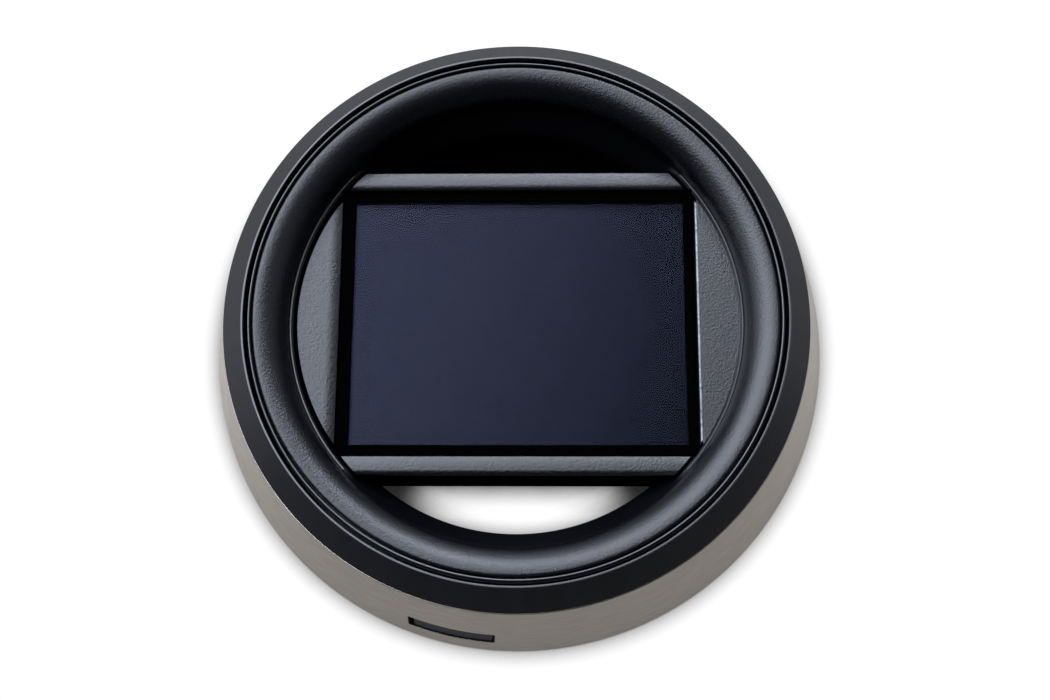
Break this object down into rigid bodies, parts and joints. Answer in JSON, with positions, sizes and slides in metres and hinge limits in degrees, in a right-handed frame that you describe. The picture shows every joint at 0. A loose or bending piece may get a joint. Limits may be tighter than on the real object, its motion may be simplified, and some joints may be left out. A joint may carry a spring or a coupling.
{
  "type": "cooled astronomy camera",
  "caption": "Ring-shaped cooled camera: a flared metal band and rolled black front lip round a bore bridged by a block with a rectangular sensor window.",
  "frame": {"origin": "centre of the resting (back) plane, under the bore axis", "axes": "+Z along the optical axis towards the front, +X right and +Y up as seen from the front"},
  "size_m": [0.0844, 0.0844, 0.0186],
  "materials": {
    "band_metal": "fine circumferential brushing, clear anodised warm nickel colour",
    "black_anodised": "matt black anodised",
    "satin_black": "satin black",
    "black_rubber": "matt",
    "mask_black": "matt black",
    "window_glass": "polished, anti-reflection coated",
    "sensor_silicon": "dark navy, smooth",
    "ceramic": "matt",
    "circuit_board": "solder mask",
    "chip_black": "moulded",
    "copper": "bare copper",
    "flex_orange": "film",
    "cast_alloy": "as cast",
    "black_plastic": "fine moulded texture",
    "desiccant_beads": "porous",
    "socket_nickel": "nickel plated",
    "screw_steel": "blackened steel"
  },
  "bodies": {
    "body": {"bezel_seal": "black_rubber", "board_screw_1": "screw_steel", "board_screw_2": "screw_steel", "board_screw_3": "screw_steel", "bridge_cover": "black_anodised", "bridge_cover_screw_1": "screw_steel", "bridge_cover_screw_2": "screw_steel", "bridge_cover_screw_3": "screw_steel", "bridge_cover_screw_4": "screw_steel", "cold_plate": "copper", "cooler_driver": "chip_black", "data_socket": "socket_nickel", "fan_stator": "copper", "foot_ring": "black_rubber", "frame_memory": "chip_black", "front_bezel": "black_anodised", "front_housing": "satin_black", "heat_sink": "cast_alloy", "heat_sink_screw_1": "screw_steel", "heat_sink_screw_2": "screw_steel", "heat_sink_screw_3": "screw_steel", "heat_sink_screw_4": "screw_steel", "image_processor": "chip_black", "main_board": "circuit_board", "outer_band": "band_metal", "peltier_cooler": "ceramic", "power_socket": "socket_nickel", "rear_cover": "black_anodised", "rear_screw_1": "screw_steel", "rear_screw_2": "screw_steel", "rear_screw_3": "screw_steel", "rear_screw_4": "screw_steel", "rear_screw_5": "screw_steel", "rear_screw_6": "screw_steel", "rear_seal": "black_rubber", "sensor_board": "circuit_board", "sensor_die": "sensor_silicon", "sensor_flex": "flex_orange", "sensor_package": "ceramic", "tray_guide": "black_plastic", "trim_ring": "black_anodised", "window_glass": "window_glass", "window_mask": "mask_black", "window_seal": "black_rubber"},
    "fan": {"fan_rotor": "black_plastic"},
    "tray": {"desiccant_tray": "black_plastic", "desiccant_pack": "desiccant_beads"}
  },
  "joints": [
    {"name": "fan_spin", "type": "hinge", "parent": "body", "child": "fan", "pos_m": [0, 0, 0.004], "axis": [0, 0, 1], "continuous": true},
    {"name": "tray_slide", "type": "slide", "parent": "body", "child": "tray", "axis": [-0.2079, -0.9781, 0], "range_m": [0, 0.0095]}
  ]
}
